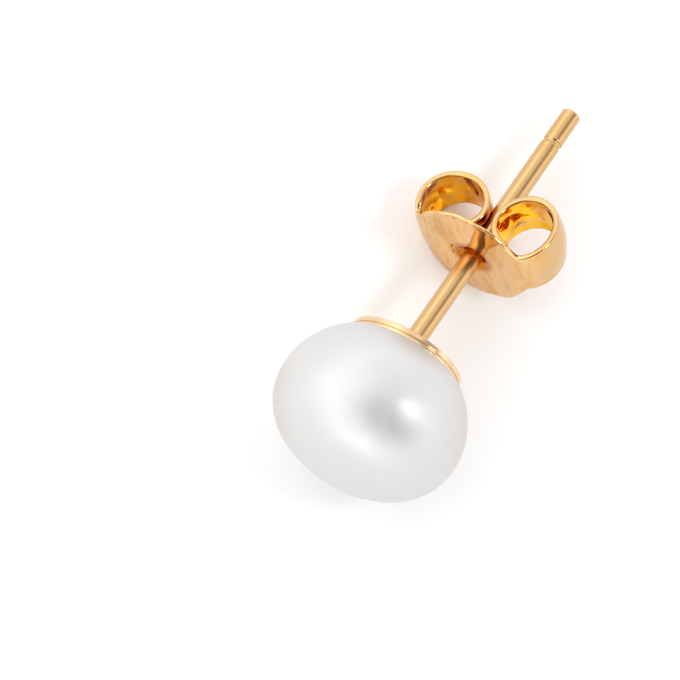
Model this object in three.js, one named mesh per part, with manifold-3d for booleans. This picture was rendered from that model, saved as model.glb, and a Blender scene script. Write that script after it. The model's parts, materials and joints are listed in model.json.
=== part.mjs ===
// Pearl stud earring with a scroll back, lying on a flat surface.
// Millimetres. The stud is built in its own axes: x across the scroll back's strip, y along the post
// from the pearl to the tip, z up the face plate. The last section lays it down with +Z up.
import * as THREE from "three";
import { ConvexHull } from "three/addons/math/ConvexHull.js";
import { mergeVertices } from "three/addons/utils/BufferGeometryUtils.js";
import Module from "manifold-3d";

// Pearl, a button form: rounder at the front, fuller behind, ground flat where it sits in the cup.
const PEARL_WIDTH = 7.05;
const PEARL_FRONT = 2.65; // from its widest ring to the front pole
const PEARL_BACK = 3.1; // where the back pole would be if it weren't ground flat
const PEARL_BASE = 2.42; // from its widest ring to the flat base
const PEARL_TILT = 4; // degrees from the line of the post, about z; the cup tilts with it
const PEARL_SQUARENESS = 2.2; // exponent of the front half's outline, 2 being an ellipse

// Clearances between neighbours.
const GLUE_GAP = 0.05; // pearl to cup and pearl to peg, the glue's place
const HOLE_PLAY = 0.08; // post to the hole of the scroll back, on the radius

// Cup, peg and post: one turned and soldered solid.
const POST_WIDTH = 0.74;
const POST_LENGTH = 11; // from the cup's back to the tip
const PEG_WIDTH = 0.7;
const PEG_LENGTH = 2.4; // ends short of the widest ring
const CUP_WIDTH = 4.35;
const CUP_EDGE = 0.24; // height of the cup's rim along the post
const CUP_DOME = 0.3; // how far the cup's back rises from its rim to the post
const SOLDER_FILLET = 0.16;
const FILLET_WAIST = 0.05; // the fillet's surface to the post and to the cup at its middle
const TIP_CHAMFER = 0.12;
const NOTCH_FROM_TIP = 1.5;
const NOTCH_WIDTH = 0.28;
const NOTCH_DEPTH = 0.06;

// Scroll back: one strip of sheet, an oval face plate with a curl on each side.
const SHEET = 0.22;
const BACK_FROM_CUP = 4.15; // from the cup's back to the middle of the plate
const PLATE_SPAN = 4.3; // across the strip
const PLATE_HEIGHT = 4.82;
const PLATE_SHIFT = -0.12; // the oval's middle to the hole, across the strip
const STRIP_WIDTH = 1.74;
const COLLAR_WIDTH = 1.4; // the punched rim round the hole
const COLLAR_WALL = 0.13;
const COLLAR_LENGTH = 0.34;
const FUNNEL_WIDTH = 1.15; // the hole's mouth on the side of the pearl
const FUNNEL_DEPTH = 0.24;
const GROOVE_SHEET = 0.16; // wall of the grooves that the curls hold the post with

// One row for each curl: its side, its middle's distance from the post, its outer width and depth,
// how far its foot stands off the hole's middle along the post, and the degrees that the strip turns
// from there to its end.
const CURLS = [
  { side: -1, middle: 1.475, width: 2.75, depth: 2.67, foot: 0, turn: 300 },
  { side: 1, middle: 1.44, width: 2.48, depth: 2.77, foot: 0.12, turn: 345 },
];
const TIGHTEN_FROM = 260; // degrees turned where the strip starts to tuck in
const TIGHTEN_TO = 350;
const TIGHTENED = 0.73; // the reach there, as a share of the curl's half width or depth
const CURL_STEPS = 36;
const PLATE_BEND_STEPS = 8; // steps of each curl that the oval plate still covers

// Facets.
const SAME_POINT = 1e-4; // vertices nearer than this are one
const ROUND_SIDES = 40;
const POST_SIDES = 24;
const PEARL_ROWS = 26;
const HOLE_SIDES = 20;
const OVAL_SIDES = 44;
const CUP_ROWS = 4;

// Sizes that follow from the ones above.
const PEARL_RADIUS = PEARL_WIDTH / 2;
const POST_RADIUS = POST_WIDTH / 2;
const PEG_RADIUS = PEG_WIDTH / 2;
const CUP_RADIUS = CUP_WIDTH / 2;
const SEAT = PEARL_BASE + GLUE_GAP; // the cup's floor
const CUP_BACK = SEAT + CUP_EDGE + CUP_DOME;
const POST_TIP = CUP_BACK + POST_LENGTH;
const PLATE_MIDDLE = CUP_BACK + BACK_FROM_CUP;
const HOLE_RADIUS = POST_RADIUS + HOLE_PLAY;
const CURLS_END = PLATE_MIDDLE + Math.max(...CURLS.map(({ depth, foot }) => foot + depth)) - SHEET / 2;

const pearlWhite = new THREE.MeshStandardMaterial({ color: 0xf3f0ec, roughness: 0.32, metalness: 0 });
const postGold = new THREE.MeshStandardMaterial({ color: 0xe6b877, roughness: 0.2, metalness: 1 });
const backGold = new THREE.MeshStandardMaterial({ color: 0xe0ab62, roughness: 0.28, metalness: 1 });

const wasm = await Module();
wasm.setup();
const smooth = THREE.MathUtils.smoothstep;

function solid(geometry) {
  const bare = geometry.clone();
  bare.deleteAttribute("normal");
  bare.deleteAttribute("uv");
  const merged = mergeVertices(bare, SAME_POINT);
  const vertProperties = merged.attributes.position.array;
  const triVerts = new Uint32Array(merged.index.array);
  return new wasm.Manifold(new wasm.Mesh({ numProp: 3, vertProperties, triVerts }));
}

function geometryOf(body) {
  const { vertProperties, triVerts } = body.getMesh();
  const geometry = new THREE.BufferGeometry();
  geometry.setAttribute("position", new THREE.BufferAttribute(vertProperties, 3));
  geometry.setIndex(new THREE.BufferAttribute(triVerts, 1));
  geometry.computeVertexNormals();
  return geometry;
}

function named(name, geometry, material) {
  const mesh = new THREE.Mesh(geometry, material);
  mesh.name = name;
  return mesh;
}

// A body turned round the post: rows of [radius, distance along the post], axis to axis.
function turned(rows, sides) {
  return new THREE.LatheGeometry(rows.map(([r, y]) => new THREE.Vector2(r, y)), sides);
}

// Pearl
function pearlGeometry() {
  const rows = [];
  for (let i = 0; i <= PEARL_ROWS; i++) {
    const angle = (Math.PI * i) / PEARL_ROWS;
    const front = angle < Math.PI / 2;
    const power = front ? 2 / PEARL_SQUARENESS : 1;
    const depth = front ? PEARL_FRONT : PEARL_BACK;
    const along = -Math.sign(Math.cos(angle)) * depth * Math.abs(Math.cos(angle)) ** power;
    if (along < PEARL_BASE) rows.push([PEARL_RADIUS * Math.sin(angle) ** power, along]);
  }
  const baseRadius = PEARL_RADIUS * Math.sqrt(1 - (PEARL_BASE / PEARL_BACK) ** 2);
  const holeRadius = PEG_RADIUS + GLUE_GAP;
  const holeEnd = SEAT - PEG_LENGTH - GLUE_GAP;
  rows.push([baseRadius, PEARL_BASE], [holeRadius, PEARL_BASE], [holeRadius, holeEnd], [0, holeEnd]);
  return tilted(turned(rows, ROUND_SIDES));
}

// Cup, peg and post: the cup and the peg tilt with the pearl, and the post keeps its own line.
function cupPostGeometry() {
  return geometryOf(solid(tilted(cupGeometry())).add(solid(postGeometry())));
}

function cupGeometry() {
  const rows = [
    [0, SEAT - PEG_LENGTH],
    [PEG_RADIUS, SEAT - PEG_LENGTH],
    [PEG_RADIUS, SEAT],
    [CUP_RADIUS, SEAT],
  ];
  const rimBack = SEAT + CUP_EDGE;
  for (let i = 0; i <= CUP_ROWS; i++) {
    const share = i / CUP_ROWS;
    rows.push([CUP_RADIUS * (1 - share), rimBack + CUP_DOME * Math.sin((share * Math.PI) / 2)]);
  }
  return turned(rows, ROUND_SIDES);
}

function postGeometry() {
  const notch = POST_TIP - NOTCH_FROM_TIP;
  const groove = POST_RADIUS - NOTCH_DEPTH;
  const rows = [
    [0, CUP_BACK - CUP_EDGE],
    [POST_RADIUS + SOLDER_FILLET, CUP_BACK - CUP_EDGE],
    [POST_RADIUS + SOLDER_FILLET, CUP_BACK],
    [POST_RADIUS + FILLET_WAIST, CUP_BACK + FILLET_WAIST],
    [POST_RADIUS, CUP_BACK + SOLDER_FILLET],
    [POST_RADIUS, notch - NOTCH_WIDTH / 2],
    [groove, notch - NOTCH_WIDTH / 2 + NOTCH_DEPTH],
    [groove, notch + NOTCH_WIDTH / 2 - NOTCH_DEPTH],
    [POST_RADIUS, notch + NOTCH_WIDTH / 2],
    [POST_RADIUS, POST_TIP - TIP_CHAMFER],
    [POST_RADIUS - TIP_CHAMFER, POST_TIP],
    [0, POST_TIP],
  ];
  return turned(rows, POST_SIDES);
}

// Turns a piece about the middle of the cup's back by the tilt of the pearl.
function tilted(geometry) {
  geometry.translate(0, -CUP_BACK, 0);
  geometry.rotateZ(THREE.MathUtils.degToRad(PEARL_TILT));
  return geometry.translate(0, CUP_BACK, 0);
}

// Middle line of the first degrees of one curl's turn in the plane across the plate, from its foot.
function curlLine({ side, middle, width, depth, foot }, turn, tighten) {
  const halfWidth = (width - SHEET) / 2;
  const halfDepth = (depth - SHEET) / 2;
  return Array.from({ length: CURL_STEPS + 1 }, (_, i) => {
    const turnedBy = (turn * i) / CURL_STEPS;
    const angle = THREE.MathUtils.degToRad(turnedBy);
    const reach = 1 - tighten * (1 - TIGHTENED) * smooth(turnedBy, TIGHTEN_FROM, TIGHTEN_TO);
    const x = middle + halfWidth * reach * Math.sin(angle);
    const y = PLATE_MIDDLE + foot + halfDepth * (1 - reach * Math.cos(angle));
    return new THREE.Vector2(side * x, y);
  });
}

// A line thickened to the sheet and drawn out to a width along z.
function sheetAlong(line, width) {
  const edge = (sign) =>
    line.map((point, i) => {
      const before = line[Math.max(i - 1, 0)];
      const after = line[Math.min(i + 1, line.length - 1)];
      const across = after.clone().sub(before).normalize();
      return new THREE.Vector2(
        point.x - (sign * across.y * SHEET) / 2,
        point.y + (sign * across.x * SHEET) / 2,
      );
    });
  const shape = new THREE.Shape([...edge(-1), ...edge(1).reverse()]);
  const geometry = new THREE.ExtrudeGeometry(shape, { depth: width, bevelEnabled: false });
  return solid(geometry.translate(0, 0, -width / 2));
}

// The plate's oval outline drawn out along the post.
function ovalPrism() {
  const outline = Array.from({ length: OVAL_SIDES }, (_, i) => {
    const angle = (2 * Math.PI * i) / OVAL_SIDES;
    const x = PLATE_SHIFT + (PLATE_SPAN / 2) * Math.cos(angle);
    return new THREE.Vector2(x, (PLATE_HEIGHT / 2) * Math.sin(angle));
  });
  const depth = PLATE_SPAN;
  const geometry = new THREE.ExtrudeGeometry(new THREE.Shape(outline), { depth, bevelEnabled: false });
  geometry.rotateX(Math.PI / 2);
  return solid(geometry.translate(0, PLATE_MIDDLE + depth / 2, 0));
}

// The punched rim round the hole.
function holeCollar() {
  const back = PLATE_MIDDLE + COLLAR_LENGTH;
  const wide = COLLAR_WIDTH / 2;
  const narrow = HOLE_RADIUS + COLLAR_WALL;
  return solid(turned([[0, PLATE_MIDDLE], [wide, PLATE_MIDDLE], [narrow, back], [0, back]], HOLE_SIDES));
}

// The grooves pressed into both curls: a sleeve round the post, kept only inside the curls.
function grooves() {
  const radius = HOLE_RADIUS + GROOVE_SHEET;
  const rows = [[0, PLATE_MIDDLE], [radius, PLATE_MIDDLE], [radius, CURLS_END], [0, CURLS_END]];
  const insides = CURLS.map((curl) => {
    const shape = new THREE.Shape(curlLine(curl, 360, 0).slice(1));
    const geometry = new THREE.ExtrudeGeometry(shape, { depth: STRIP_WIDTH, bevelEnabled: false });
    return solid(geometry.translate(0, 0, -STRIP_WIDTH / 2));
  });
  return insides[0].add(insides[1]).intersect(solid(turned(rows, HOLE_SIDES)));
}

// The way of the post through the plate and between the curls, with a funnel mouth.
function postWay() {
  const mouth = PLATE_MIDDLE - SHEET / 2;
  const before = mouth - SHEET;
  const wide = FUNNEL_WIDTH / 2;
  const slope = (wide - HOLE_RADIUS) / FUNNEL_DEPTH;
  const rows = [
    [0, before],
    [wide + slope * SHEET, before],
    [HOLE_RADIUS, mouth + FUNNEL_DEPTH],
    [HOLE_RADIUS, CURLS_END + SHEET],
    [0, CURLS_END + SHEET],
  ];
  return solid(turned(rows, HOLE_SIDES));
}

function butterflyBackGeometry() {
  const [left, right] = CURLS.map((curl) => curlLine(curl, curl.turn, 1));
  const strip = [...left.slice().reverse(), ...right];
  const bend = PLATE_BEND_STEPS + 1;
  const face = [...left.slice(0, bend).reverse(), ...right.slice(0, bend)];
  const plate = sheetAlong(face, PLATE_HEIGHT + SHEET).intersect(ovalPrism());
  const bent = sheetAlong(strip, STRIP_WIDTH).add(plate).add(holeCollar()).add(grooves());
  return geometryOf(bent.subtract(postWay()));
}

// Laying down: the whole stud rests on one face of its convex hull, the one that looks most nearly
// along DOWN. The pearl, the plate's edge and the lower curl touch the surface.
const DOWN = new THREE.Vector3(-0.5, 0.15, -0.85);

function restingFace(meshes) {
  const points = meshes.flatMap((mesh) => {
    const place = mesh.geometry.attributes.position;
    return Array.from({ length: place.count }, (_, i) => new THREE.Vector3().fromBufferAttribute(place, i));
  });
  const { faces } = new ConvexHull().setFromPoints(points);
  return faces.reduce((best, face) => (face.normal.dot(DOWN) > best.normal.dot(DOWN) ? face : best));
}

function laidDown(meshes) {
  const stud = new THREE.Group().add(...meshes);
  const face = restingFace(meshes);
  stud.quaternion.setFromUnitVectors(face.normal, new THREE.Vector3(0, 0, -1));
  const post = new THREE.Vector3(0, 1, 0).applyQuaternion(stud.quaternion);
  const turn = Math.PI / 2 - Math.atan2(post.y, post.x);
  stud.quaternion.premultiply(new THREE.Quaternion().setFromAxisAngle(new THREE.Vector3(0, 0, 1), turn));
  stud.updateMatrixWorld(true);
  const box = new THREE.Box3().setFromObject(stud, true);
  const middle = box.getCenter(new THREE.Vector3());
  stud.position.set(-middle.x, -middle.y, -box.min.z);
  return stud;
}

const earring = new THREE.Group();
earring.add(
  laidDown([
    named("pearl", pearlGeometry(), pearlWhite),
    named("cup_post", cupPostGeometry(), postGold),
    named("butterfly_back", butterflyBackGeometry(), backGold),
  ]),
);

export default earring;
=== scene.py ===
"""A pearl stud earring with its scroll back on the post, lying on a plain pale surface.

Each piece is made in millimetres in the stud's own axes: x across the strip of the scroll back,
y along the post from the pearl to the tip, with nought at the pearl's widest ring, and z up the
face plate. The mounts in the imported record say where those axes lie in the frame.
"""

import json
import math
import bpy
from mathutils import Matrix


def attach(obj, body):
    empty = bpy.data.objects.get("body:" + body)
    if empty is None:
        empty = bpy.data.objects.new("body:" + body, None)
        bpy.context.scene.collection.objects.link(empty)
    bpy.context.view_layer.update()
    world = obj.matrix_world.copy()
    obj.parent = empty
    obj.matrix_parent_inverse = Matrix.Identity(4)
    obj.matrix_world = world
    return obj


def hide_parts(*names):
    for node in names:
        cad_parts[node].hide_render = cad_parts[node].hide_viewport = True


bl_info = {
    "name": "Pearl stud earring",
    "version": (1, 0, 0),
    "blender": (4, 5, 0),
    "location": "View3D > Sidebar > Earring",
    "description": "Builds a pearl, its gold cup and post and a scroll back round the frame",
    "category": "Add Mesh",
}

import bmesh
import bpy
from bpy.props import FloatProperty, FloatVectorProperty, PointerProperty
from bpy.types import Operator, Panel, PropertyGroup
from mathutils import Matrix, Vector, noise

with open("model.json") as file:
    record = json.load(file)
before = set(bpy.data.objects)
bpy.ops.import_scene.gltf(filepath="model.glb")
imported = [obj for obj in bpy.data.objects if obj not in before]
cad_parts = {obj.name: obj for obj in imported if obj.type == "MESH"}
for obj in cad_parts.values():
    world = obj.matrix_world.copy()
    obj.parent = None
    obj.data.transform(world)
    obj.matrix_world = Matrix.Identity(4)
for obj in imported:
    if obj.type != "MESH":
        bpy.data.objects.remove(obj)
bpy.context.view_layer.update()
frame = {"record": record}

MM = 0.001
MOUNTS = {mount["name"]: mount for mount in frame["record"]["mounts"]}
STUD_BODY = "stud"
BACK_BODY = "back"
CUP_BACK = 3.01  # the back of the cup, along the post


def millimetres(name, description, default, least=0.0):
    """A length property, given here in millimetres."""
    return FloatProperty(
        name=name,
        description=description,
        default=default * MM,
        min=least * MM,
        unit="LENGTH",
        precision=5,
    )


def degrees(name, description, default):
    """An angle property, given here in degrees."""
    return FloatProperty(
        name=name, description=description, default=math.radians(default), subtype="ANGLE"
    )


def number(name, description, default, least=0.0, most=1000.0, unit="NONE"):
    """A plain number."""
    return FloatProperty(
        name=name, description=description, default=default, min=least, max=most, unit=unit
    )


def share(name, description, default):
    """A property from nought to one."""
    return FloatProperty(
        name=name, description=description, default=default, min=0.0, max=1.0, subtype="FACTOR"
    )


def colour(name, description, default):
    """A colour property, in linear light."""
    return FloatVectorProperty(
        name=name,
        description=description,
        default=default,
        size=3,
        min=0.0,
        max=1.0,
        subtype="COLOR",
    )


# Properties


class PearlProperties(PropertyGroup):
    """Sizes and colours of the pearl."""

    width: millimetres("Width", "Across the widest ring", 7.05)
    front: millimetres("Front", "From the widest ring to the front pole", 2.65)
    back: millimetres("Back", "From the widest ring to where the back pole would be", 3.1)
    base: millimetres("Base", "From the widest ring to the flat ground for the cup", 2.42)
    tilt: degrees("Tilt", "Turn of the pearl and the cup off the line of the post", 4.0)
    squareness: number("Squareness", "Of the front half: two is an ellipse", 2.2, 1.5, 4.0)
    wobble: millimetres("Wobble", "Depth of the long shallow dents that grow in a pearl", 0.022)
    body: colour("Nacre", "The body colour", (0.64, 0.636, 0.633))
    # Painted reflection of the gold: a warm, darker tint on two opposite sides of the pearl.
    warm_reflection_tint: colour("Blush", "The warm overtone towards its sides", (0.62, 0.53, 0.465))
    shade: colour("Shade", "The cool overtone in patches", (0.62, 0.622, 0.625))
    cloud: colour("Cloud", "The paler clouds in the nacre", (0.69, 0.682, 0.674))


class FindingProperties(PropertyGroup):
    """Sizes and colours of the cup and the post."""

    post_width: millimetres("Post width", "Across the post", 0.74)
    post_length: millimetres("Post length", "From the cup's back to the tip", 11.0)
    cup_width: millimetres("Cup width", "Across the cup's rim", 4.38)
    cup_edge: millimetres("Cup edge", "Height of the cup's rim along the post", 0.4)
    cup_dome: millimetres("Cup dome", "Rise of the cup's back from its rim to the post", 0.3)
    fillet: millimetres("Solder fillet", "Reach of the solder where post and cup meet", 0.16)
    notch_from_tip: millimetres("Notch from tip", "From the tip to the ring groove's middle", 1.5)
    notch_width: millimetres("Notch width", "Width of the ring groove", 0.2)
    notch_depth: millimetres("Notch depth", "Depth of the ring groove", 0.035)
    chamfer: millimetres("Tip chamfer", "Chamfer at the tip", 0.1)
    gold: colour("Gold", "The polished plate", (0.65, 0.415, 0.188))
    deep_gold: colour("Deep gold", "Where the plate is thicker", (0.64, 0.345, 0.11))
    # Painted reflection of the white pearl: the cup's paler gold.
    cup_pearl_reflection: colour("Cup gold", "The paler plate on the cup", (0.78, 0.575, 0.345))


class ScrollProperties(PropertyGroup):
    """Sizes and colours of the scroll back."""

    sheet: millimetres("Sheet", "Thickness of the strip", 0.22)
    from_cup: millimetres("From cup", "From the cup's back to the face plate's middle", 4.15)
    span: millimetres("Plate span", "The face plate across the strip", 4.3)
    height: millimetres("Plate height", "The face plate up and down", 4.82)
    shift: millimetres("Plate shift", "From the hole to the oval's middle", -0.12, least=-1.0)
    strip: millimetres("Strip width", "Width of the curled strip", 1.74)
    hole_play: millimetres("Hole play", "From the post to the hole, on the radius", 0.05)
    mouth: millimetres("Hole mouth", "Width of the hole where the punch went in", 1.26)
    collar: millimetres("Collar", "How far the punched rim stands out at the back", 0.42)
    # Painted light and shade: the face plate's gold is lighter and the curls' and edge's darker
    # than one plating would be.
    gold: colour("Gold", "The gold of the face plate", (0.85, 0.545, 0.25))
    curl_painted_shade: colour("Curl gold", "Outside the curls and on the edge", (0.64, 0.42, 0.20))
    deep_gold: colour("Deep gold", "Where the plate is thicker", (0.72, 0.385, 0.12))
    # Painted shade: the deep red gold round the punched hole.
    hole_painted_shade: colour("Hole gold", "The plate round the punched hole", (0.56, 0.17, 0.014))
    # Painted reflection: the gold inside the curls is deeper and brighter, for light bouncing
    # between the walls.
    inner_bounce_gold: colour("Inner gold", "The plate inside the curls", (1.0, 0.54, 0.025))
    inner_bounce_deep: colour("Inner deep gold", "Where that is thicker", (0.74, 0.25, 0.004))


class StageProperties(PropertyGroup):
    """The surface, the lights and the camera."""

    floor: number("Surface", "Side of the surface", 2.0, least=0.1, unit="LENGTH")
    floor_colour: colour("Surface colour", "Of the surface", (0.96, 0.96, 0.965))
    grain_colour: colour("Grain colour", "Of the surface's faint grain", (0.97, 0.97, 0.97))
    sky: number("Sky", "Brightness all round", 1.82)
    sky_gap: share("Sky gap", "How dark the opening overhead is", 0.87)
    side_gap: share("Side gap", "How dark the narrow opening beside it is", 0.62)
    upper_gap: share("Upper gap", "How much darker it is beyond the stud's tip", 0.36)
    horizon: share("Horizon", "How much darker it is low down than overhead", 0.3)
    right_gap: share("Right side", "How much darker it is on the right", 0.12)
    front_glow: share("Front", "How much brighter it is in front", 0.85)
    left_light: number("Left light", "Power of the broad light", 0.007, unit="POWER")
    right_light: number("Right light", "Power of the small light", 0.031, unit="POWER")
    lens: number("Lens", "Focal length", 166.63, least=1.0, unit="CAMERA")


# Shared shapes and places


def stud_axes():
    """The matrix that takes the stud's own axes, in metres, into the frame."""
    foot = Vector(MOUNTS["ear_post"]["pos_m"])
    along = Vector(MOUNTS["ear_post"]["axis"]).normalized()
    face = Vector(MOUNTS["lobe_seat"]["axis"])
    up = face.cross(along).normalized()
    up = up if up.z > 0 else -up
    across = along.cross(up)
    turn = Matrix((across, along, up)).transposed()
    place = foot - along * CUP_BACK * MM
    return Matrix.Translation(place) @ turn.to_4x4()


def piece_from(bm, name, material):
    """Turns a mesh made in the stud's own axes into a smooth piece in the frame."""
    bmesh.ops.recalc_face_normals(bm, faces=bm.faces)
    mesh = bpy.data.meshes.new(name)
    bm.to_mesh(mesh)
    bm.free()
    mesh.transform(stud_axes() @ Matrix.Scale(MM, 4))
    mesh.shade_smooth()
    mesh.materials.append(material)
    piece = bpy.data.objects.new(name, mesh)
    bpy.context.scene.collection.objects.link(piece)
    return piece


def tilted(bm, angle):
    """Turns a mesh about the middle of the cup's back."""
    middle = Vector((0, CUP_BACK, 0))
    turn = Matrix.Rotation(angle, 4, "Z")
    bm.transform(Matrix.Translation(middle) @ turn @ Matrix.Translation(-middle))


def arc_point(start, corner, end, t):
    """The place at t, from nought to one, on the arc that rounds off a corner."""
    return start * (1 - t) ** 2 + corner * 2 * t * (1 - t) + end * t**2


CORNER_FLAT = 0.4  # the flat that a rounded corner has on each side, as a share of its radius


def rounded(rows, steps=5):
    """Rows of radius, distance along the post and corner radius, with each corner as an arc."""
    points = []
    for i, (radius, along, corner) in enumerate(rows):
        here = Vector((radius, along))
        if corner == 0 or i in (0, len(rows) - 1):
            points.append(here)
            continue
        before = (Vector(rows[i - 1][:2]) - here).normalized()
        after = (Vector(rows[i + 1][:2]) - here).normalized()
        start, end = here + before * corner, here + after * corner
        points.append(start + before * corner * CORNER_FLAT)
        points += [arc_point(start, here, end, step / steps) for step in range(steps + 1)]
        points.append(end + after * corner * CORNER_FLAT)
    return points


ON_AXIS = 1e-6  # a smaller radius is a point on the axis


def turned(points, sides, bm=None):
    """A closed body turned round the post, from points of radius and distance along it."""
    bm = bm or bmesh.new()
    rings = []
    for radius, along in points:
        if radius < ON_AXIS:
            rings.append([bm.verts.new((0, along, 0))])
            continue
        ring = []
        for k in range(sides):
            angle = 2 * math.pi * k / sides
            ring.append(bm.verts.new((radius * math.cos(angle), along, radius * math.sin(angle))))
        rings.append(ring)
    for low, high in zip(rings, rings[1:]):
        for k in range(sides):
            corners = [low[k % len(low)], low[(k + 1) % len(low)]]
            corners += [high[(k + 1) % len(high)], high[k % len(high)]]
            corners = list(dict.fromkeys(corners))
            if len(corners) > 2:
                bm.faces.new(corners)
    return bm


def smooth_step(value, low, high):
    """From nought at low to one at high, with level ends."""
    t = min(1.0, max(0.0, (value - low) / (high - low)))
    return t * t * (3 - 2 * t)


# Materials

# The colour sockets of a Mix node.
MIX_FIRST, MIX_SECOND, MIX_RESULT = 6, 7, 2

# The noises: scale for each millimetre, detail, roughness, and stretch along the stud's own axes.
NOISES = {
    "painted_reflection_edge": (0.4, 2.0, 0.5, (1, 1, 1)),
    "cool": (1.0, 2.0, 0.5, (0.3, 0.45, 0.3)),
    "cloud": (1.6, 5.0, 0.6, (1, 1, 1)),
    "skin": (9.0, 4.0, 0.55, (1, 1, 1)),
    "draw lines": (14.0, 3.0, 0.6, (1, 0.04, 1)),
    "handling": (0.8, 2.0, 0.5, (1, 1, 1)),
    "streaks": (4.5, 4.0, 0.6, (1, 1, 0.2)),
    "fine streaks": (16.0, 3.0, 0.6, (1, 1, 0.1)),
    "worn plate": (1.0, 3.0, 0.5, (1, 1, 0.4)),
    "tool marks": (1.3, 2.0, 0.5, (1, 1, 1)),
    "ripples": (1.25, 1.0, 0.5, (1, 1, 0.7)),
}
NOISE_LOW, NOISE_HIGH = 0.3, 0.7  # most of a noise lies between these


class Nodes:
    """Makes and links the nodes of one tree."""

    def __init__(self, tree):
        self.tree = tree

    def node(self, kind, inputs=(), **settings):
        made = self.tree.nodes.new(kind)
        for key, value in settings.items():
            setattr(made, key, value)
        for socket, value in dict(inputs).items():
            self.feed(made.inputs[socket], value)
        return made

    def feed(self, socket, value):
        """Links a socket to a node's output, or sets it to a value."""
        if isinstance(value, bpy.types.NodeSocket):
            self.tree.links.new(value, socket)
        else:
            socket.default_value = value

    def maths(self, operation, *values):
        return self.node("ShaderNodeMath", enumerate(values), operation=operation).outputs[0]

    def vectors(self, operation, *values):
        return self.node("ShaderNodeVectorMath", enumerate(values), operation=operation).outputs

    def spread(self, value, low, high, to_low=0.0, to_high=1.0):
        """A value's range from low to high, eased over to another range."""
        made = self.node(
            "ShaderNodeMapRange",
            {
                "Value": value,
                "From Min": low,
                "From Max": high,
                "To Min": to_low,
                "To Max": to_high,
            },
            interpolation_type="SMOOTHSTEP",
        )
        return made.outputs["Result"]


class Finish(Nodes):
    """A principled material and the nodes that feed it."""

    def __init__(self, name):
        self.material = bpy.data.materials.new(name)
        self.material.use_nodes = True
        super().__init__(self.material.node_tree)
        self.shader = self.tree.nodes["Principled BSDF"]

    def set(self, values):
        """Feeds the shader's sockets."""
        for socket, value in values.items():
            self.feed(self.shader.inputs[socket], value)

    def own_place(self, stretch=(1, 1, 1)):
        """The place in millimetres in the stud's own axes, stretched along them."""
        axes = stud_axes()
        own = self.node(
            "ShaderNodeMapping",
            {
                "Vector": self.node("ShaderNodeTexCoord").outputs["Object"],
                "Location": axes.to_translation(),
                "Rotation": axes.to_euler(),
                "Scale": (MM, MM, MM),
            },
            vector_type="TEXTURE",
        ).outputs[0]
        if stretch == (1, 1, 1):
            return own
        return self.node("ShaderNodeMapping", {"Vector": own, "Scale": stretch}).outputs[0]

    def along_post(self, place):
        """The distance along the post."""
        return self.node("ShaderNodeSeparateXYZ", {"Vector": place}).outputs["Y"]

    def from_post(self, place, across=0.0, up=0.0):
        """The distance from the post's axis, or from a line beside it."""
        moved = self.vectors("SUBTRACT", place, (across, 0, up))[0]
        flat = self.vectors("MULTIPLY", moved, (1, 0, 1))[0]
        return self.vectors("LENGTH", flat)["Value"]

    def noise_at(self, place, scale, detail, roughness):
        made = self.node(
            "ShaderNodeTexNoise",
            {"Vector": place, "Scale": scale, "Detail": detail, "Roughness": roughness},
        )
        return made.outputs["Fac"]

    def noise(self, name):
        *settings, stretch = NOISES[name]
        return self.noise_at(self.own_place(stretch), *settings)

    def ranged(self, value, low, high):
        """A noise eased over to the range from low to high."""
        return self.spread(value, NOISE_LOW, NOISE_HIGH, low, high)

    def tinted(self, tint, over, value, low, high, most=1.0):
        """A tint with another colour over it, from where a value is low to where it is high."""
        return self.mixed(self.spread(value, low, high, 0.0, most), tint, over)

    def mixed(self, amount, first, second):
        """From the first colour to the second by an amount."""
        made = self.node("ShaderNodeMix", {"Factor": amount}, data_type="RGBA")
        for socket, value in ((MIX_FIRST, first), (MIX_SECOND, second)):
            plain = not isinstance(value, bpy.types.NodeSocket)
            self.feed(made.inputs[socket], (*value, 1.0) if plain else value)
        return made.outputs[MIX_RESULT]

    def bump(self, height, distance, strength):
        inputs = {"Height": height, "Distance": distance * MM, "Strength": strength}
        return self.node("ShaderNodeBump", inputs).outputs["Normal"]


PAINTED_WARM_SIDE = (-0.8, -0.54, 0.2)  # the axis whose two ends get a painted warm reflection of the gold, which also darkens the pearl's rims there
PAINTED_WARM_MIDDLE = 0.25  # how far off the pearl's middle the painted reflection is weakest
PAINTED_WARM_FROM, PAINTED_WARM_TO = 2.7, 3.9  # where it starts and where it is full
PAINTED_WARM_UNEVEN = 0.6  # how far its edge wanders
NACRE_LAYERS = {
    "Metallic": 0.5,
    "Specular Tint": (0.78, 0.75, 0.72, 1.0),
    "IOR": 1.5,
    "Subsurface Weight": 0.15,
    "Subsurface Radius": (1.0, 0.8, 0.7),
    "Subsurface Scale": 0.5 * MM,
    "Coat Weight": 0.22,
    "Coat Roughness": 0.26,
    "Coat IOR": 1.5,
}


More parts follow.
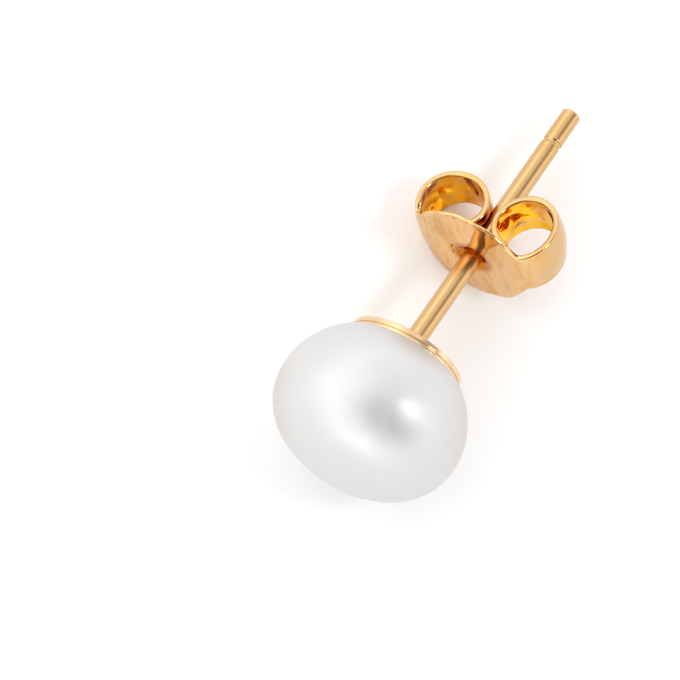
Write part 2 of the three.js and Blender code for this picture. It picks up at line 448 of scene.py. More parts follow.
def nacre(sizes):
    """White nacre: satin layers with a faint cool overtone under a clear skin, and a painted warm
    reflection of the gold that tints and darkens its rims on two opposite sides.
    """
    finish = Finish("white_nacre")
    # Painted reflection: two opposite sides of the pearl are tinted warmer and darker, as if
    # mirroring the gold.
    sideways = finish.vectors("DOT_PRODUCT", finish.own_place(), PAINTED_WARM_SIDE)["Value"]
    sideways = finish.maths("ABSOLUTE", finish.maths("ADD", sideways, PAINTED_WARM_MIDDLE))
    uneven = finish.maths("MULTIPLY", finish.noise("painted_reflection_edge"), PAINTED_WARM_UNEVEN)
    side = finish.maths("ADD", sideways, uneven)
    cloud = finish.noise("cloud")
    tint = finish.tinted(sizes.body, sizes.warm_reflection_tint, side, PAINTED_WARM_FROM, PAINTED_WARM_TO, most=0.8)
    tint = finish.tinted(tint, sizes.shade, finish.noise("cool"), 0.5, 0.72, most=0.45)
    tint = finish.tinted(tint, sizes.cloud, cloud, NOISE_LOW, NOISE_HIGH, most=0.12)
    finish.set(NACRE_LAYERS)
    finish.set(
        {
            "Base Color": tint,
            "Roughness": finish.ranged(cloud, 0.38, 0.46),
            "Normal": finish.bump(finish.noise("skin"), 0.004, 0.5),
        }
    )
    return finish.material


def gold_from(finish, tint, roughness, normal):
    """The finish as a metal of that tint."""
    finish.set({"Metallic": 1.0, "Base Color": tint, "Roughness": roughness, "Normal": normal})
    return finish.material


def polished_gold(sizes):
    """Polished gold plate with fine draw lines along the post and a few soft handling marks, and a
    paler gold on the cup as a painted reflection of the white pearl.
    """
    finish = Finish("polished_gold")
    wear = finish.noise("handling")
    along = finish.along_post(finish.own_place())
    # Painted reflection: the cup is paler, as if mirroring the white pearl.
    off_cup = finish.spread(along, CUP_BACK - 0.1, CUP_BACK + 0.12)
    tint = finish.mixed(off_cup, sizes.cup_pearl_reflection, sizes.gold)
    tint = finish.tinted(tint, sizes.deep_gold, wear, 0.45, 0.8, most=0.6)
    normal = finish.bump(finish.noise("draw lines"), 0.002, 0.04)
    return gold_from(finish, tint, finish.ranged(wear, 0.16, 0.22), normal)


# The face plate round its hole, in millimetres from the post's middle.
HOLE_SHADE_FULL_TO, HOLE_SHADE_GONE_FROM = 0.6, 0.98  # the painted shade round the hole fades out between these
POLISHED_SPOT = {"across": 0.7, "up": 1.25}  # a second middle of the smooth part of the plate
POLISHED_TO, BRUSHED_FROM = 0.65, 1.7  # the smooth part, from either middle
POLISHED = 0.06  # roughness of the smooth part
BRUSHED = 0.11  # how much rougher the face plate is
FINE_SHARE = 0.12  # height of the fine streaks as a share of the broad ones


def brushed_gold(sizes):
    """Gold plate on pressed sheet: streaked up and down the face plate, smoother on the curls, with
    the face plate painted lighter and the curls darker as painted light and shade, and a painted
    shade round the punched hole.
    """
    finish = Finish("brushed_gold")
    place = finish.own_place()
    streaks, fine = finish.noise("streaks"), finish.noise("fine streaks")
    plate_y = plate_place(sizes)
    along = finish.along_post(place)
    plate = finish.spread(along, plate_y + 0.05, plate_y + 0.35, 1.0, 0.12)
    curls = finish.spread(along, plate_y, plate_y + 0.9)
    off_post = finish.from_post(place)
    off_spot = finish.from_post(place, **POLISHED_SPOT)
    brushed = finish.spread(finish.maths("MINIMUM", off_post, off_spot), POLISHED_TO, BRUSHED_FROM)
    hole = finish.spread(off_post, HOLE_SHADE_FULL_TO, HOLE_SHADE_GONE_FROM, 1.0, 0.0)

    # Painted light and shade: the face plate lighter, the curls and edge darker.
    tint = finish.mixed(curls, sizes.gold, sizes.curl_painted_shade)
    tint = finish.tinted(tint, sizes.deep_gold, finish.noise("worn plate"), 0.46, 0.68)
    tint = finish.tinted(tint, sizes.deep_gold, streaks, 0.46, 0.68, most=0.7)
    tint = finish.tinted(tint, sizes.deep_gold, fine, 0.45, 0.7, most=0.4)
    # Painted shade: a deep red gold round the punched hole, fading out towards the plate.
    tint = finish.mixed(hole, tint, sizes.hole_painted_shade)

    rough = finish.maths("MULTIPLY", plate, BRUSHED)
    rough = finish.maths("ADD", finish.ranged(fine, 0.0, 0.06), rough)
    rough = finish.maths("ADD", finish.maths("MULTIPLY", rough, brushed), POLISHED)

    height = finish.maths("ADD", streaks, finish.maths("MULTIPLY", fine, FINE_SHARE))
    height = finish.maths("MULTIPLY", height, finish.maths("MULTIPLY", plate, brushed))
    return gold_from(finish, tint, rough, finish.bump(height, 0.075, 0.9))


def bright_gold(sizes):
    """The plate inside the curls, painted a deeper and brighter orange gold than the outside as a
    painted reflection of light bouncing between the curled walls, a little thicker and redder where
    the tool has pressed.
    """
    finish = Finish("bright_gold")
    wear = finish.noise("tool marks")
    plate_y = plate_place(sizes)
    along = finish.along_post(finish.own_place())
    curls = finish.spread(along, plate_y + 0.3, plate_y + 1.1, 0.08, 1.0)
    # Painted reflection: a deeper, brighter gold than outside the curls, for light bouncing between
    # their walls.
    tint = finish.tinted(sizes.inner_bounce_gold, sizes.inner_bounce_deep, wear, 0.38, 0.74)
    normal = finish.bump(finish.maths("MULTIPLY", finish.noise("ripples"), curls), 0.45, 1.0)
    return gold_from(finish, tint, finish.ranged(wear, 0.06, 0.13), normal)


def pale_surface(sizes):
    """A matt pale table top."""
    finish = Finish("pale_surface")
    place = finish.node("ShaderNodeTexCoord").outputs["Object"]
    grain = finish.ranged(finish.noise_at(place, 900.0, 3.0, 0.5), 0.0, 0.3)
    tint = finish.mixed(grain, sizes.floor_colour, sizes.grain_colour)
    finish.set({"Base Color": tint, "Roughness": 0.75})
    return finish.material


# Pearl

PEARL_SIDES = 160
SHOULDER = 0.32  # how far before its base the pearl starts to round in to the cup
SHOULDER_CORNER = (0.27, 0.09)  # the corner that is rounded off, in from there and before the base
SHOULDER_IN = 0.62  # how far in from there the flat base starts
SHOULDER_ROWS = 10
GROWTH_FADE = 0.6  # how far before its base the pearl's unevenness starts to fade out
DENTS, DENTS_AT = 0.35, Vector((3.1, 0.4, 7.7))  # scale, and which part of the noise they are
RIPPLES, RIPPLES_AT = 1.1, Vector((9.3, 5.2, 1.8))
RINGS, RING_HEIGHT = 7.0, 0.08  # the faint rings round the pearl's axis


def pearl_rows(sizes, rows=110):
    """Points of radius and distance along the post, from the front pole to the flat base."""
    widest = sizes.width / MM / 2
    base = sizes.base / MM
    points = []
    for i in range(rows + 1):
        angle = math.pi * i / rows
        front = angle < math.pi / 2
        power = 2 / sizes.squareness if front else 1.0
        depth = (sizes.front if front else sizes.back) / MM
        along = -math.copysign(depth * abs(math.cos(angle)) ** power, math.cos(angle))
        if along < base - SHOULDER:
            points.append((widest * math.sin(angle) ** power, along))
    edge = widest * math.sqrt(1 - ((base - SHOULDER) / (sizes.back / MM)) ** 2)
    start = Vector((edge, base - SHOULDER))
    corner = Vector((edge - SHOULDER_CORNER[0], base - SHOULDER_CORNER[1]))
    end = Vector((edge - SHOULDER_IN, base))
    for i in range(SHOULDER_ROWS + 1):
        points.append(tuple(arc_point(start, corner, end, i / SHOULDER_ROWS)))
    return points + [(edge / 2, base), (0.0, base)]


def growth(place):
    """The unevenness of a grown pearl at a place: broad dents, ripples and faint rings."""
    broad = noise.noise(place * DENTS + DENTS_AT)
    ripple = noise.noise(place * RIPPLES + RIPPLES_AT)
    rings = math.sin(place.y * RINGS + 0.6 * broad) * RING_HEIGHT
    return 0.5 + 0.5 * broad + 0.16 * ripple + rings


def pearl_mesh(sizes):
    """The turned pearl with the slight unevenness of a grown one."""
    bm = turned(pearl_rows(sizes), PEARL_SIDES)
    wobble = sizes.wobble / MM
    for vertex in bm.verts:
        place = vertex.co.copy()
        fade = min(1.0, max(0.0, (sizes.base / MM - place.y) / GROWTH_FADE))
        vertex.co -= place.normalized() * wobble * fade * growth(place)
    tilted(bm, sizes.tilt)
    return bm


class EARRING_OT_pearl(Operator):
    """Build the pearl"""

    bl_idname = "earring.pearl"
    bl_label = "Pearl"

    def execute(self, context):
        sizes = context.scene.earring_pearl
        pearl = piece_from(pearl_mesh(sizes), "pearl_nacre", nacre(sizes))
        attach(pearl, STUD_BODY)
        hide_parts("pearl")
        return {"FINISHED"}


# Cup and post

CUP_SIDES = 128
POST_SIDES = 72
CUP_LIP = 0.09  # width of the flat lip round the dome
CUP_LINE = 0.045  # depth of the fine line turned round the cup's rim
DOME_ROWS = 16
POST_START = 0.2  # how far inside the cup the post starts
FILLET_SINK = 0.03  # how far the solder's foot lies inside the dome
FILLET_ROWS = 8
SMALL_CORNER = 0.03


def cup_rows(sizes):
    """The cup's outline, from the middle of its hidden front to the middle of its back."""
    radius = sizes.cup_width / MM / 2
    rim_back = CUP_BACK - sizes.cup_dome / MM
    rim_front = rim_back - sizes.cup_edge / MM
    dome_radius = radius - CUP_LIP
    rows = [
        (0.0, rim_front + 0.03, 0),  # hidden against the pearl
        (radius - 0.14, rim_front + 0.02, 0.02),
        (radius, rim_front, 0.04),  # the rim up to its line
        (radius, rim_front + 0.12, 0.02),
        (radius - CUP_LINE, rim_front + 0.14, 0.01),  # the line's floor
        (radius - CUP_LINE, rim_front + 0.165, 0.01),
        (radius, rim_front + 0.185, 0.02),  # the rest of the rim
        (radius, rim_back - 0.035, 0.035),
        (dome_radius, rim_back - 0.02, 0.02),  # the lip's end, at the foot of the dome
    ]
    for i in range(1, DOME_ROWS + 1):
        t = i / DOME_ROWS
        rise = sizes.cup_dome / MM * math.sin(t * math.pi / 2)
        rows.append((dome_radius * (1 - t), rim_back + rise, 0))
    return rows


def post_rows(sizes):
    """The post's outline, from inside the cup to the tip."""
    radius = sizes.post_width / MM / 2
    tip = CUP_BACK + sizes.post_length / MM
    notch = tip - sizes.notch_from_tip / MM
    half = sizes.notch_width / MM / 2
    groove = radius - sizes.notch_depth / MM
    fillet = sizes.fillet / MM
    chamfer = sizes.chamfer / MM
    rows = [(0.0, CUP_BACK - POST_START, 0), (radius + fillet, CUP_BACK - POST_START, 0)]
    for i in range(FILLET_ROWS + 1):
        angle = math.pi / 2 * i / FILLET_ROWS
        along = CUP_BACK - FILLET_SINK + fillet * (1 - math.cos(angle))
        rows.append((radius + fillet * (1 - math.sin(angle)), along, 0))
    return rows + [
        (radius, notch - half * 2, 0),
        (radius, notch - half, SMALL_CORNER),
        (groove, notch - half + 0.05, SMALL_CORNER),
        (groove, notch + half - 0.05, SMALL_CORNER),
        (radius, notch + half, SMALL_CORNER),
        (radius, tip - chamfer, SMALL_CORNER),
        (radius - chamfer, tip - 0.01, SMALL_CORNER),
        (0.0, tip, 0),
    ]


class EARRING_OT_finding(Operator):
    """Build the cup and the post"""

    bl_idname = "earring.finding"
    bl_label = "Cup and post"

    def execute(self, context):
        sizes = context.scene.earring_finding
        bm = turned(rounded(cup_rows(sizes)), CUP_SIDES)
        tilted(bm, context.scene.earring_pearl.tilt)
        turned(rounded(post_rows(sizes)), POST_SIDES, bm)
        finding = piece_from(bm, "cup_and_post", polished_gold(sizes))
        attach(finding, STUD_BODY)
        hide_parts("cup_post")
        return {"FINISHED"}


# Scroll back

# One row for each curl, in millimetres and degrees: its side, its middle's distance from the
# post, its outer width and depth, how far its foot stands off the plate's middle, and how far
# the strip turns.
CURLS = (
    {"side": -1, "middle": 1.475, "width": 2.75, "depth": 2.67, "foot": 0.0, "turn": 300},
    {"side": 1, "middle": 1.44, "width": 2.48, "depth": 2.77, "foot": 0.12, "turn": 345},
)
TIGHTEN_FROM, TIGHTEN_TO = 260, 350  # degrees turned, where the strip tucks in
TIGHTENED = 0.73  # its reach there, as a share of the curl's half width or depth

# The outline of the plate and the strip. Lengths along the line are from the hole.
PLATE_REACH = 2.7  # where the plate surely has ended
PLATE_EASE = 0.6  # softness of the corner between the plate and the strip, at the bottom edge
TOP_EASE = 0.25  # and at the top edge
FULLER = 0.14  # how much wider than the strip the lower edge is near the plate
FULLER_RIGHT, FULLER_LEFT = (3.3, 5.0), (2.1, 3.4)  # where that fades out
NECK = 0.19  # depth of the small relief stamped in the left upper edge
NECK_AT, NECK_WIDTH = 2.62, 0.22
CROWN = 0.1  # how far the middle of the strip bulges out of the first half of a curl
CROWN_RISE, CROWN_FALL = (1.7, 2.8), (4.8, 6.0)
EDGE_TAPER = 0.4  # share of its wall that the plate loses towards its top and bottom edge
TAPER_TO = 2.4  # where it has lost that, in half widths of the strip
PLATE_DEPTH = 0.5  # places of the line this close behind the plate's middle may lie at the hole

# The mesh of the sheet.
LINE_STEP = 0.055  # spacing of its stations along the line
ROWS = 56  # faces from the lower edge to the upper one
BLOCK = 16  # stations each side of the hole that the rings round it take up
BLOCK_LOW, BLOCK_HIGH = ROWS // 2 - 10, ROWS // 2 + 10  # and the rows
FLAT_RINGS, COLLAR_RINGS = 9, 9
EDGE_ANGLES = (-60, -30, 0, 30, 60)  # round the sheet's edge, in degrees
EDGE_REACH = 0.07  # how far the rounded edge stands out
EDGE_FULLNESS = 0.6  # one is an ellipse, and less is fuller

# The punched hole and its torn collar.
RIM_WALL = 0.12  # the sheet's thickness at the end of the collar
RING_CROWDING = 1.3  # how much the flat rings crowd towards the hole
BEND_SHARE, STRAIGHT_SHARE = 0.7, 0.3  # shares of the collar's rings that bend and that don't
BEND_RISE, STRAIGHT_RISE = 0.55, 0.45  # and of its height
SMALL_TEARS = 0.07
BIG_TEAR = 0.24
BIG_TEAR_AT, BIG_TEAR_WIDTH = math.pi * 0.96, 0.5
COLLAR_WAVE = 0.05

# What pressing by hand has left. Fades are a start and an end, in millimetres.
GROOVE_EASE = 0.16  # softness of the groove that a curl holds the post with
GROOVE_REACH = 0.3  # how far above and below the post the groove is eased out
GROOVE_FADE = (0.35, 0.9)  # behind the plate's middle
# The face plate's long waves and short ripples: depth, scale across, place in the noise, scale up.
WAVES = ((0.05, 1.3, 4.2, 0.55), (0.018, 3.6, 8.8, 1.1))
WAVE_FADE, HOLE_FADE = (0.3, 0.8), (0.8, 2.0)  # behind the plate's middle, and from the post
MARK = (-0.8, 0.3)  # a small punch mark beside the hole, across and up
MARK_DEPTH = 0.022
MARK_FROM, MARK_TO = 0.03, 0.13  # the edge of the mark


def plate_place(sizes):
    """Where the middle of the face plate lies along the post."""
    return CUP_BACK + sizes.from_cup / MM


def curl_line(curl, sheet, plate_y, steps=90):
    """The middle line of one curl from its foot to its end."""
    half_width = (curl["width"] - sheet) / 2
    half_depth = (curl["depth"] - sheet) / 2
    points = []
    for i in range(steps + 1):
        turn = curl["turn"] * i / steps
        reach = 1 - (1 - TIGHTENED) * smooth_step(turn, TIGHTEN_FROM, TIGHTEN_TO)
        angle = math.radians(turn)
        x = curl["middle"] + half_width * reach * math.sin(angle)
        y = plate_y + curl["foot"] + half_depth * (1 - reach * math.cos(angle))
        points.append(Vector((curl["side"] * x, y)))
    return points


def spaced(points, gap):
    """The same line in even steps of about gap."""
    lengths = [0.0]
    for a, b in zip(points, points[1:]):
        lengths.append(lengths[-1] + (b - a).length)
    count = max(2, round(lengths[-1] / gap))
    even, k = [], 0
    for i in range(count + 1):
        target = lengths[-1] * i / count
        while k < len(points) - 2 and lengths[k + 1] < target:
            k += 1
        t = (target - lengths[k]) / max(1e-9, lengths[k + 1] - lengths[k])
        even.append(points[k].lerp(points[k + 1], min(1.0, max(0.0, t))))
    return even


def softened(points, rounds):
    """The line with its kinks eased."""
    for _ in range(rounds):
        inner = [(a + b * 2 + c) / 4 for a, b, c in zip(points, points[1:], points[2:])]
        points = [points[0], *inner, points[-1]]
    return points


def strip_line(sizes):
    """The whole strip's middle line, from the end of one curl through the plate to the other's."""
    sheet = sizes.sheet / MM
    left, right = (curl_line(curl, sheet, plate_place(sizes)) for curl in CURLS)
    return softened(spaced([*reversed(left), *right], LINE_STEP), 4)


def on_line(line, x, near):
    """The line's distance along the post at x, close to one of its stations."""
    i = near
    while i < len(line) - 2 and line[i + 1].x < x:
        i += 1
    while i > 0 and line[i].x > x:
        i -= 1
    a, b = line[i], line[i + 1]
    t = (x - a.x) / max(1e-9, b.x - a.x)
    return a.y + (b.y - a.y) * t


def eased_apart(value, least, ease):
    """Value, kept at or above least with a soft turn between."""
    apart = max(ease - abs(value - least), 0.0) / ease
    return max(value, least) + apart**2 * ease / 4


def half_heights(x, from_hole, sizes):
    """The sheet's reach below and above the line: the oval's at the plate, else the strip's."""
    strip = sizes.strip / MM / 2
    from_middle = (x - sizes.shift / MM) / (sizes.span / MM / 2)
    fuller = FULLER * (1 - smooth_step(from_hole, *(FULLER_RIGHT if x > 0 else FULLER_LEFT)))
    relief = NECK * math.exp(-(((from_hole - NECK_AT) / NECK_WIDTH) ** 2)) if x < 0 else 0.0
    if from_hole > PLATE_REACH or abs(from_middle) >= 1:
        return strip + fuller, strip - relief
    oval = sizes.height / MM / 2 * math.sqrt(1 - from_middle**2)
    below = eased_apart(oval, strip + fuller, PLATE_EASE)
    return below, eased_apart(oval, strip, TOP_EASE) - relief


def crown(from_hole):
    """How far the strip bulges outwards at a length of the line from the hole."""
    return CROWN * smooth_step(from_hole, *CROWN_RISE) * (1 - smooth_step(from_hole, *CROWN_FALL))


def tear_at(angle):
    """How far the rim of the hole is torn outwards at an angle round the post."""
    off_big = math.remainder(angle - BIG_TEAR_AT, 2 * math.pi)
    small = SMALL_TEARS * max(0.0, math.cos(4 * angle + 0.5)) ** 2
    return small + BIG_TEAR * math.exp(-((off_big / BIG_TEAR_WIDTH) ** 2))


def ring_point(k, start_radius, angle, sizes, post_radius):
    """Radius, depth and wall of the k-th ring: flat ones first, then those of the collar."""
    sheet = sizes.sheet / MM
    tear = tear_at(angle)
    mouth = sizes.mouth / MM / 2 + sheet / 4 + tear
    if k <= FLAT_RINGS:
        t = 1 - (1 - k / FLAT_RINGS) ** RING_CROWDING
        return start_radius * (1 - t) + mouth * t, 0.0, sheet
    bore = post_radius + sizes.hole_play / MM + RIM_WALL / 2
    t = (k - FLAT_RINGS) / COLLAR_RINGS
    bend = min(1.0, t / BEND_SHARE) * math.pi / 2
    straight = max(0.0, (t - BEND_SHARE) / STRAIGHT_SHARE)
    reach = sizes.collar / MM - 0.5 * tear - COLLAR_WAVE * math.cos(3 * angle)
    radius = bore + (mouth - bore) * (1 - math.sin(bend))
    depth = reach * (BEND_RISE * (1 - math.cos(bend)) + STRAIGHT_RISE * straight)
    return radius, depth, sheet + (RIM_WALL - sheet) * t


def strip_grid(line, hole_at, sizes):
    """The strip without the block round its hole: places with their wall, faces, and an index."""
    sheet = sizes.sheet / MM
    strip = sizes.strip / MM / 2
    flat, faces, index = [], [], {}
    for i, point in enumerate(line):
        along = (line[min(i + 1, len(line) - 1)] - line[max(i - 1, 0)]).normalized()
        out = Vector((along.y, -along.x))
        from_hole = abs(i - hole_at) * LINE_STEP
        below, above = half_heights(point.x, from_hole, sizes)
        for j in range(ROWS + 1):
            if abs(i - hole_at) < BLOCK and BLOCK_LOW < j < BLOCK_HIGH:
                continue
            share_up = 2 * j / ROWS - 1
            z = share_up * (above if share_up > 0 else below)
            place = point + out * crown(from_hole) * max(0.0, 1 - (z / strip) ** 2)
            wall = sheet * (1 - EDGE_TAPER * smooth_step(abs(z), strip, strip * TAPER_TO))
            index[i, j] = len(flat)
            flat.append((Vector((place.x, place.y, z)), wall))
    for i in range(len(line) - 1):
        for j in range(ROWS):
            if not (-BLOCK <= i - hole_at < BLOCK and BLOCK_LOW <= j < BLOCK_HIGH):
                faces.append([index[i, j], index[i + 1, j], index[i + 1, j + 1], index[i, j + 1]])
    return flat, faces, index


def round_corners(start, end, low, high):
    """The grid's stations and rows round a block, one way round."""
    edge = [(i, low) for i in range(start, end)] + [(end, j) for j in range(low, high)]
    edge += [(i, high) for i in range(end, start, -1)]
    return edge + [(start, j) for j in range(high, low, -1)]


def scroll_surface(sizes, post_radius):
    """The middle surface of the sheet: places with their wall, faces and border loops."""
    line = strip_line(sizes)
    plate_back = plate_place(sizes) + PLATE_DEPTH
    near_plate = [i for i, point in enumerate(line) if point.y < plate_back]
    hole_at = min(near_plate, key=lambda i: abs(line[i].x))
    flat, faces, index = strip_grid(line, hole_at, sizes)

    # Rings from the block's edge to the punched rim, which turns back along the post.
    block = round_corners(hole_at - BLOCK, hole_at + BLOCK, BLOCK_LOW, BLOCK_HIGH)
    outer = [index[key] for key in block]
    last = outer
    for k in range(1, FLAT_RINGS + COLLAR_RINGS + 1):
        ring = []
        for i in outer:
            x, z = flat[i][0].x, flat[i][0].z
            angle = math.atan2(z, x)
            radius, depth, wall = ring_point(k, math.hypot(x, z), angle, sizes, post_radius)
            x, z = radius * math.cos(angle), radius * math.sin(angle)
            ring.append(len(flat))
            flat.append((Vector((x, on_line(line, x, hole_at) + depth, z)), wall))
        for n in range(len(ring)):
            m = (n + 1) % len(ring)
            faces.append([last[n], last[m], ring[m], ring[n]])
        last = ring
    border = round_corners(0, len(line) - 1, 0, ROWS)
    return flat, faces, [[index[key] for key in border], last]


def pressed(place, sizes, post_radius):
    """Dents a place of the curls round the post, and leaves the slight waves of hand pressing."""
    plate_y = plate_place(sizes)
    beyond = smooth_step(place.y, *(plate_y + fade for fade in GROOVE_FADE))
    reach = post_radius + sizes.hole_play / MM + sizes.sheet / MM / 2
    if beyond > 0 and abs(place.z) < reach + GROOVE_REACH:
        groove = math.sqrt(max(0.0, reach**2 - place.z**2))
        apart = eased_apart(abs(place.x), groove, GROOVE_EASE)
        place.x += (math.copysign(apart, place.x) - place.x) * beyond
    off_hole = smooth_step(math.hypot(place.x, place.z), *HOLE_FADE)
    on_plate = 1 - smooth_step(place.y, *(plate_y + fade for fade in WAVE_FADE))
    waves = 0.0
    for depth, across, at, up in WAVES:
        waves += depth * noise.noise(Vector((place.x * across, at, place.z * up)))
    place.y += off_hole * on_plate * waves
    from_mark = math.hypot(place.x - MARK[0], place.z - MARK[1])
    place.y += on_plate * MARK_DEPTH * (1 - smooth_step(from_mark, MARK_FROM, MARK_TO))
    return place


def sheet_shell(flat, faces, loops):
    """A closed sheet round its middle surface, with a rounded edge along each border loop."""
    middle = bmesh.new()
    points = [middle.verts.new(place) for place, _ in flat]
    for face in faces:
        middle.faces.new([points[i] for i in face])
    middle.normal_update()
    normals = [point.normal.copy() for point in points]
    centres = {}
    for loop in loops:
        for i in loop:
            linked = points[i].link_faces
            total = sum((face.calc_center_median() for face in linked), Vector())
            centres[i] = total / len(linked)
    middle.free()

    bm = bmesh.new()
    inner, outer = (
        [
            bm.verts.new(place + normal * sign * wall / 2)
            for (place, wall), normal in zip(flat, normals)
        ]
        for sign in (-1, 1)
    )
    for face in faces:
        bm.faces.new([outer[i] for i in face])
        bm.faces.new([inner[i] for i in reversed(face)]).material_index = 1
    for loop in loops:
        rings = [[inner[i] for i in loop]]
        for angle in EDGE_ANGLES:
            ring = []
            for n, i in enumerate(loop):
                place, wall = flat[i]
                along = flat[loop[(n + 1) % len(loop)]][0] - flat[loop[n - 1]][0]
                out = along.cross(normals[i]).normalized()
                if out.dot(centres[i] - place) > 0:
                    out = -out
                fullness = math.cos(math.radians(angle)) ** EDGE_FULLNESS
                reach = min(EDGE_REACH, wall / 2) * fullness
                rise = normals[i] * math.sin(math.radians(angle)) * wall / 2
                ring.append(bm.verts.new(place + out * reach + rise))
            rings.append(ring)
        rings.append([outer[i] for i in loop])
        for a, b in zip(rings, rings[1:]):
            for n in range(len(loop)):
                m = (n + 1) % len(loop)
                bm.faces.new([a[n], a[m], b[m], b[n]])
    return bm


class EARRING_OT_scroll(Operator):
    """Build the scroll back"""

    bl_idname = "earring.scroll"
    bl_label = "Scroll back"

    def execute(self, context):
        sizes = context.scene.earring_scroll
        post_radius = context.scene.earring_finding.post_width / MM / 2
        flat, faces, loops = scroll_surface(sizes, post_radius)
        flat = [(pressed(place, sizes, post_radius), wall) for place, wall in flat]
        bm = sheet_shell(flat, faces, loops)
        scroll = piece_from(bm, "scroll_back", brushed_gold(sizes))
        scroll.data.materials.append(bright_gold(sizes))
        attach(scroll, BACK_BODY)
        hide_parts("butterfly_back")
        return {"FINISHED"}


# Stage

# The view in the stud's own axes: the eye's place, and the picture's right and up.
VIEW_EYE = (46.839, -35.209, 93.093)
VIEW_RIGHT = (0.81194403, 0.54326842, -0.21226473)
VIEW_UP = (-0.38164455, 0.77041808, 0.51063972)
SENSOR = 36.0
FLOOR_DROP = 0.004  # millimetres between the stud's lowest point and the surface

# Darker and brighter parts of the sky: the property with the depth and whether that darkens or
# brightens, the direction as shares of the view's right, up and back, or None for straight down,
# and the angles off it, in degrees, where it starts and where it is full.
OPENINGS = (
    ("sky_gap", 1, (0.22, -0.3, 1.0), 50, 13),
    ("upper_gap", 1, (0.455, 0.6, 0.656), 45, 8),
    ("side_gap", 1, (0.726, 0.205, 0.655), 26, 2),
    ("horizon", 1, None, 123, 88),
    ("right_gap", 1, (1.0, 0.0, 0.25), 65, 15),
    ("front_glow", -1, (-0.5, -0.85, 0.0), 40, 10),
)

# The lights: the name, the property with the power, width and height in metres, and the
# direction as shares of the view's right, up and back.
LIGHTS = (
    ("broad_light", "left_light", (0.17, 0.085), (-0.83, 0.12, 0.56)),
    ("small_light", "right_light", (0.032, 0.032), (0.67, 0.04, 0.74)),
)
LIGHT_DISTANCE = 0.13


def view_axes():
    """The view's right, up and back as directions in the frame."""
    turn = stud_axes().to_3x3()
    right, up = turn @ Vector(VIEW_RIGHT), turn @ Vector(VIEW_UP)
    return right, up, right.cross(up)


def in_frame(shares):
    """The direction in the frame that has these shares of the view's right, up and back."""
    if shares is None:
        return Vector((0, 0, -1))
    parts = (axis * part for axis, part in zip(view_axes(), shares))
    return sum(parts, Vector()).normalized()


def make_floor(sizes):
    """A wide flat surface under the stud."""
    bm = bmesh.new()
    bmesh.ops.create_grid(bm, x_segments=8, y_segments=8, size=sizes.floor / 2)
    mesh = bpy.data.meshes.new("pale_surface")
    bm.to_mesh(mesh)
    bm.free()
    mesh.materials.append(pale_surface(sizes))
    floor = bpy.data.objects.new("pale_surface", mesh)
    floor.location.z = -FLOOR_DROP * MM
    bpy.context.scene.collection.objects.link(floor)


def make_light(name, power, size, direction):
    """An oval soft light that looks at the stud from a direction."""
    light = bpy.data.lights.new(name, "AREA")
    light.shape = "ELLIPSE"
    light.size, light.size_y = size
    light.energy = power
    made = bpy.data.objects.new(name, light)
    made.location = direction * LIGHT_DISTANCE
    made.rotation_mode = "QUATERNION"
    made.rotation_quaternion = direction.to_track_quat("Z", "Y")
    bpy.context.scene.collection.objects.link(made)


def make_sky(sizes):
    """White light all round, darker or brighter in its openings."""
    world = bpy.data.worlds.new("white_tent")
    bpy.context.scene.world = world
    world.use_nodes = True
    nodes = Nodes(world.node_tree)
    where = nodes.node("ShaderNodeTexCoord").outputs["Generated"]
    brightness = sizes.sky
    for name, sign, shares, outer, inner in OPENINGS:
        towards = nodes.vectors("DOT_PRODUCT", where, in_frame(shares))["Value"]
        low, high = math.cos(math.radians(outer)), math.cos(math.radians(inner))
        level = nodes.spread(towards, low, high, 1.0, 1.0 - sign * getattr(sizes, name))
        brightness = nodes.maths("MULTIPLY", brightness, level)
    background = world.node_tree.nodes["Background"]
    nodes.feed(background.inputs["Color"], (1.0, 1.0, 1.0, 1.0))
    nodes.feed(background.inputs["Strength"], brightness)


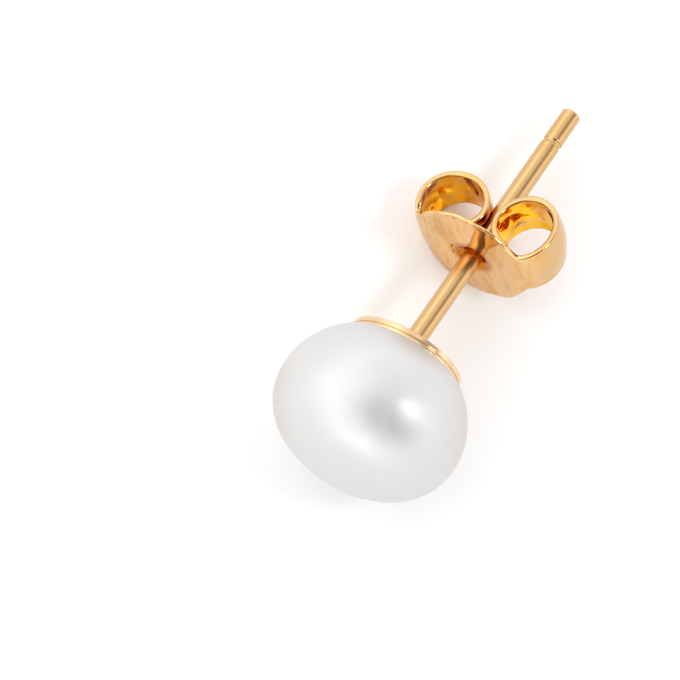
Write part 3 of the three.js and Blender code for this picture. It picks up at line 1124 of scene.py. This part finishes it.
def make_camera(sizes):
    """The camera, at the photograph's angle to the stud."""
    camera = bpy.data.cameras.new("camera")
    camera.lens = sizes.lens
    camera.sensor_width = SENSOR
    camera.clip_start = 0.001
    camera.clip_end = 10.0
    made = bpy.data.objects.new("camera", camera)
    turn = Matrix(view_axes()).transposed().to_4x4()
    made.matrix_world = Matrix.Translation(stud_axes() @ (Vector(VIEW_EYE) * MM)) @ turn
    bpy.context.scene.collection.objects.link(made)
    bpy.context.scene.camera = made


class EARRING_OT_stage(Operator):
    """Build the surface, the lights and the camera"""

    bl_idname = "earring.stage"
    bl_label = "Stage"

    def execute(self, context):
        sizes = context.scene.earring_stage
        make_floor(sizes)
        make_sky(sizes)
        for name, power, size, shares in LIGHTS:
            make_light(name, getattr(sizes, power), size, in_frame(shares))
        make_camera(sizes)
        context.scene.view_settings.view_transform = "Standard"
        return {"FINISHED"}


# Panel and registration

BUILDERS = (EARRING_OT_stage, EARRING_OT_pearl, EARRING_OT_finding, EARRING_OT_scroll)
GROUPS = {
    "earring_pearl": PearlProperties,
    "earring_finding": FindingProperties,
    "earring_scroll": ScrollProperties,
    "earring_stage": StageProperties,
}


class EARRING_PT_builders(Panel):
    """The builders of the earring and their sizes"""

    bl_label = "Pearl stud earring"
    bl_idname = "EARRING_PT_builders"
    bl_space_type = "VIEW_3D"
    bl_region_type = "UI"
    bl_category = "Earring"

    def draw(self, context):
        for builder in BUILDERS:
            self.layout.operator(builder.bl_idname)
        for group, kind in GROUPS.items():
            box = self.layout.box()
            for name in kind.__annotations__:
                box.prop(getattr(context.scene, group), name)


def register():
    for kind in (*GROUPS.values(), *BUILDERS, EARRING_PT_builders):
        bpy.utils.register_class(kind)
    for group, kind in GROUPS.items():
        setattr(bpy.types.Scene, group, PointerProperty(type=kind))


def unregister():
    for group in GROUPS:
        delattr(bpy.types.Scene, group)
    for kind in (EARRING_PT_builders, *BUILDERS, *GROUPS.values()):
        bpy.utils.unregister_class(kind)


def main():
    """Builds the stage and every piece."""
    register()
    bpy.ops.earring.stage()
    bpy.ops.earring.pearl()
    bpy.ops.earring.finding()
    bpy.ops.earring.scroll()


if __name__ == "__main__":
    main()
